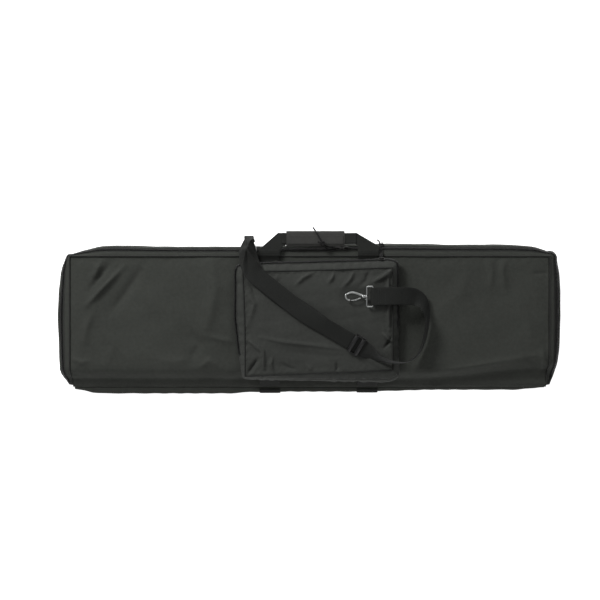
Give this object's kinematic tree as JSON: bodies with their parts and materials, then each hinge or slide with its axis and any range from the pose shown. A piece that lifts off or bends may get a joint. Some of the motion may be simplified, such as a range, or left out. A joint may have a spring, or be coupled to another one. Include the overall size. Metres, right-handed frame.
{
  "type": "soft carry case",
  "caption": "Long padded soft carry case lying on its back, with a zipped front pocket, two grab handles, a shoulder strap with hooks, and a lid that opens on its bottom seam.",
  "frame": {"origin": "middle of the flat rear panel's underside", "axes": "+X along the case, +Y towards the handles, +Z out of the front panel"},
  "size_m": [1.1018, 0.3607, 0.1278],
  "materials": {
    "fabric": "coated polyester, plain weave, dark grey",
    "lining": "thin black lining",
    "foam": "padding sewn inside the panels",
    "webbing": "ribbed black polypropylene webbing",
    "zip_tape": "woven zip tape",
    "zip_coil": "black coil teeth",
    "cord": "braided black cord",
    "black_plastic": "moulded black plastic",
    "steel": "nickel-plated hooks, rings and sliders"
  },
  "bodies": {
    "rear_shell": {"rear_panel": "fabric", "rear_foam": "foam", "rear_lining": "lining", "rear_webbing_left": "webbing", "rear_webbing_right": "webbing", "rear_gusset": "fabric", "rear_zip_tape": "zip_tape", "rear_zip_coil": "zip_coil", "bottom_gusset": "fabric", "bottom_webbing_left": "webbing", "bottom_webbing_right": "webbing"},
    "lid": {"front_panel": "fabric", "front_foam": "foam", "front_lining": "lining", "front_gusset": "fabric", "front_zip_tape": "zip_tape", "front_zip_coil": "zip_coil", "front_webbing_left": "webbing", "front_webbing_right": "webbing", "pocket_gusset": "fabric", "pocket_zip_tape": "zip_tape", "pocket_zip_coil": "zip_coil", "pocket_rim_tape": "zip_tape", "pocket_rim": "fabric", "pocket_panel": "fabric", "d_ring_left": "steel", "d_ring_tab_left": "webbing", "d_ring_tab_right": "webbing", "shoulder_strap": "webbing", "free_hook_frame": "steel", "side_hook_frame": "steel", "side_hook_body": "steel", "side_hook_gate": "steel"},
    "front_handle": {"front_handle_webbing": "webbing", "handle_wrap": "fabric"},
    "rear_handle": {"rear_handle_webbing": "webbing"},
    "left_slider": {"main_slider_left": "steel", "main_cord_long": "cord", "main_cord_short": "cord", "main_knot": "cord"},
    "right_slider": {"main_slider_right": "steel"},
    "pocket_pull": {"pocket_slider": "steel", "pocket_cord_long": "cord", "pocket_cord_short": "cord", "pocket_knot": "cord"},
    "adjuster": {"strap_adjuster": "black_plastic"},
    "free_hook": {"free_hook_body": "steel"},
    "hook_gate": {"free_hook_gate": "steel"},
    "right_ring": {"d_ring_right": "steel"}
  },
  "joints": [
    {"name": "lid_hinge", "type": "hinge", "parent": "rear_shell", "child": "lid", "pos_m": [0, -0.153, 0.0203], "axis": [1, 0, 0], "range_deg": [0, 110]},
    {"name": "front_handle_swing", "type": "hinge", "parent": "lid", "child": "front_handle", "pos_m": [0, 0.133, 0.0646], "axis": [1, 0, 0], "range_deg": [0, 80], "deforming": ["main_cord_long", "main_cord_short", "main_knot"]},
    {"name": "rear_handle_swing", "type": "hinge", "parent": "rear_shell", "child": "rear_handle", "pos_m": [0, 0.133, 0.0016], "axis": [1, 0, 0], "range_deg": [0, 18]},
    {"name": "left_slider_slide", "type": "slide", "parent": "lid", "child": "left_slider", "axis": [-1, 0, 0], "range_m": [0, 0.44], "deforming": ["main_cord_long", "main_cord_short", "main_knot"]},
    {"name": "right_slider_slide", "type": "slide", "parent": "lid", "child": "right_slider", "axis": [1, 0, 0], "range_m": [0, 0.32], "deforming": ["pocket_cord_long", "pocket_cord_short", "pocket_knot"]},
    {"name": "pocket_slider_slide", "type": "slide", "parent": "lid", "child": "pocket_pull", "axis": [-1, 0, 0], "range_m": [0, 0.195], "deforming": ["pocket_cord_long", "pocket_cord_short", "pocket_knot"]},
    {"name": "adjuster_slide", "type": "slide", "parent": "lid", "child": "adjuster", "axis": [-0.8644, 0.5027, 0], "range_m": [0, 0.035]},
    {"name": "hook_swivel", "type": "hinge", "parent": "lid", "child": "free_hook", "pos_m": [0.1345, 0.046, 0.1], "axis": [1, 0, 0], "continuous": true},
    {"name": "hook_gate_hinge", "type": "hinge", "parent": "free_hook", "child": "hook_gate", "pos_m": [0.108, 0.0436, 0.1], "axis": [0, 0, -1], "range_deg": [0, 18], "stiffness_Nm_per_rad": 0.05, "springref_deg": -11.46},
    {"name": "right_ring_swing", "type": "hinge", "parent": "lid", "child": "right_ring", "pos_m": [0.1275, 0.1395, 0.06], "axis": [1, 0, 0], "range_deg": [-28, 3]}
  ]
}
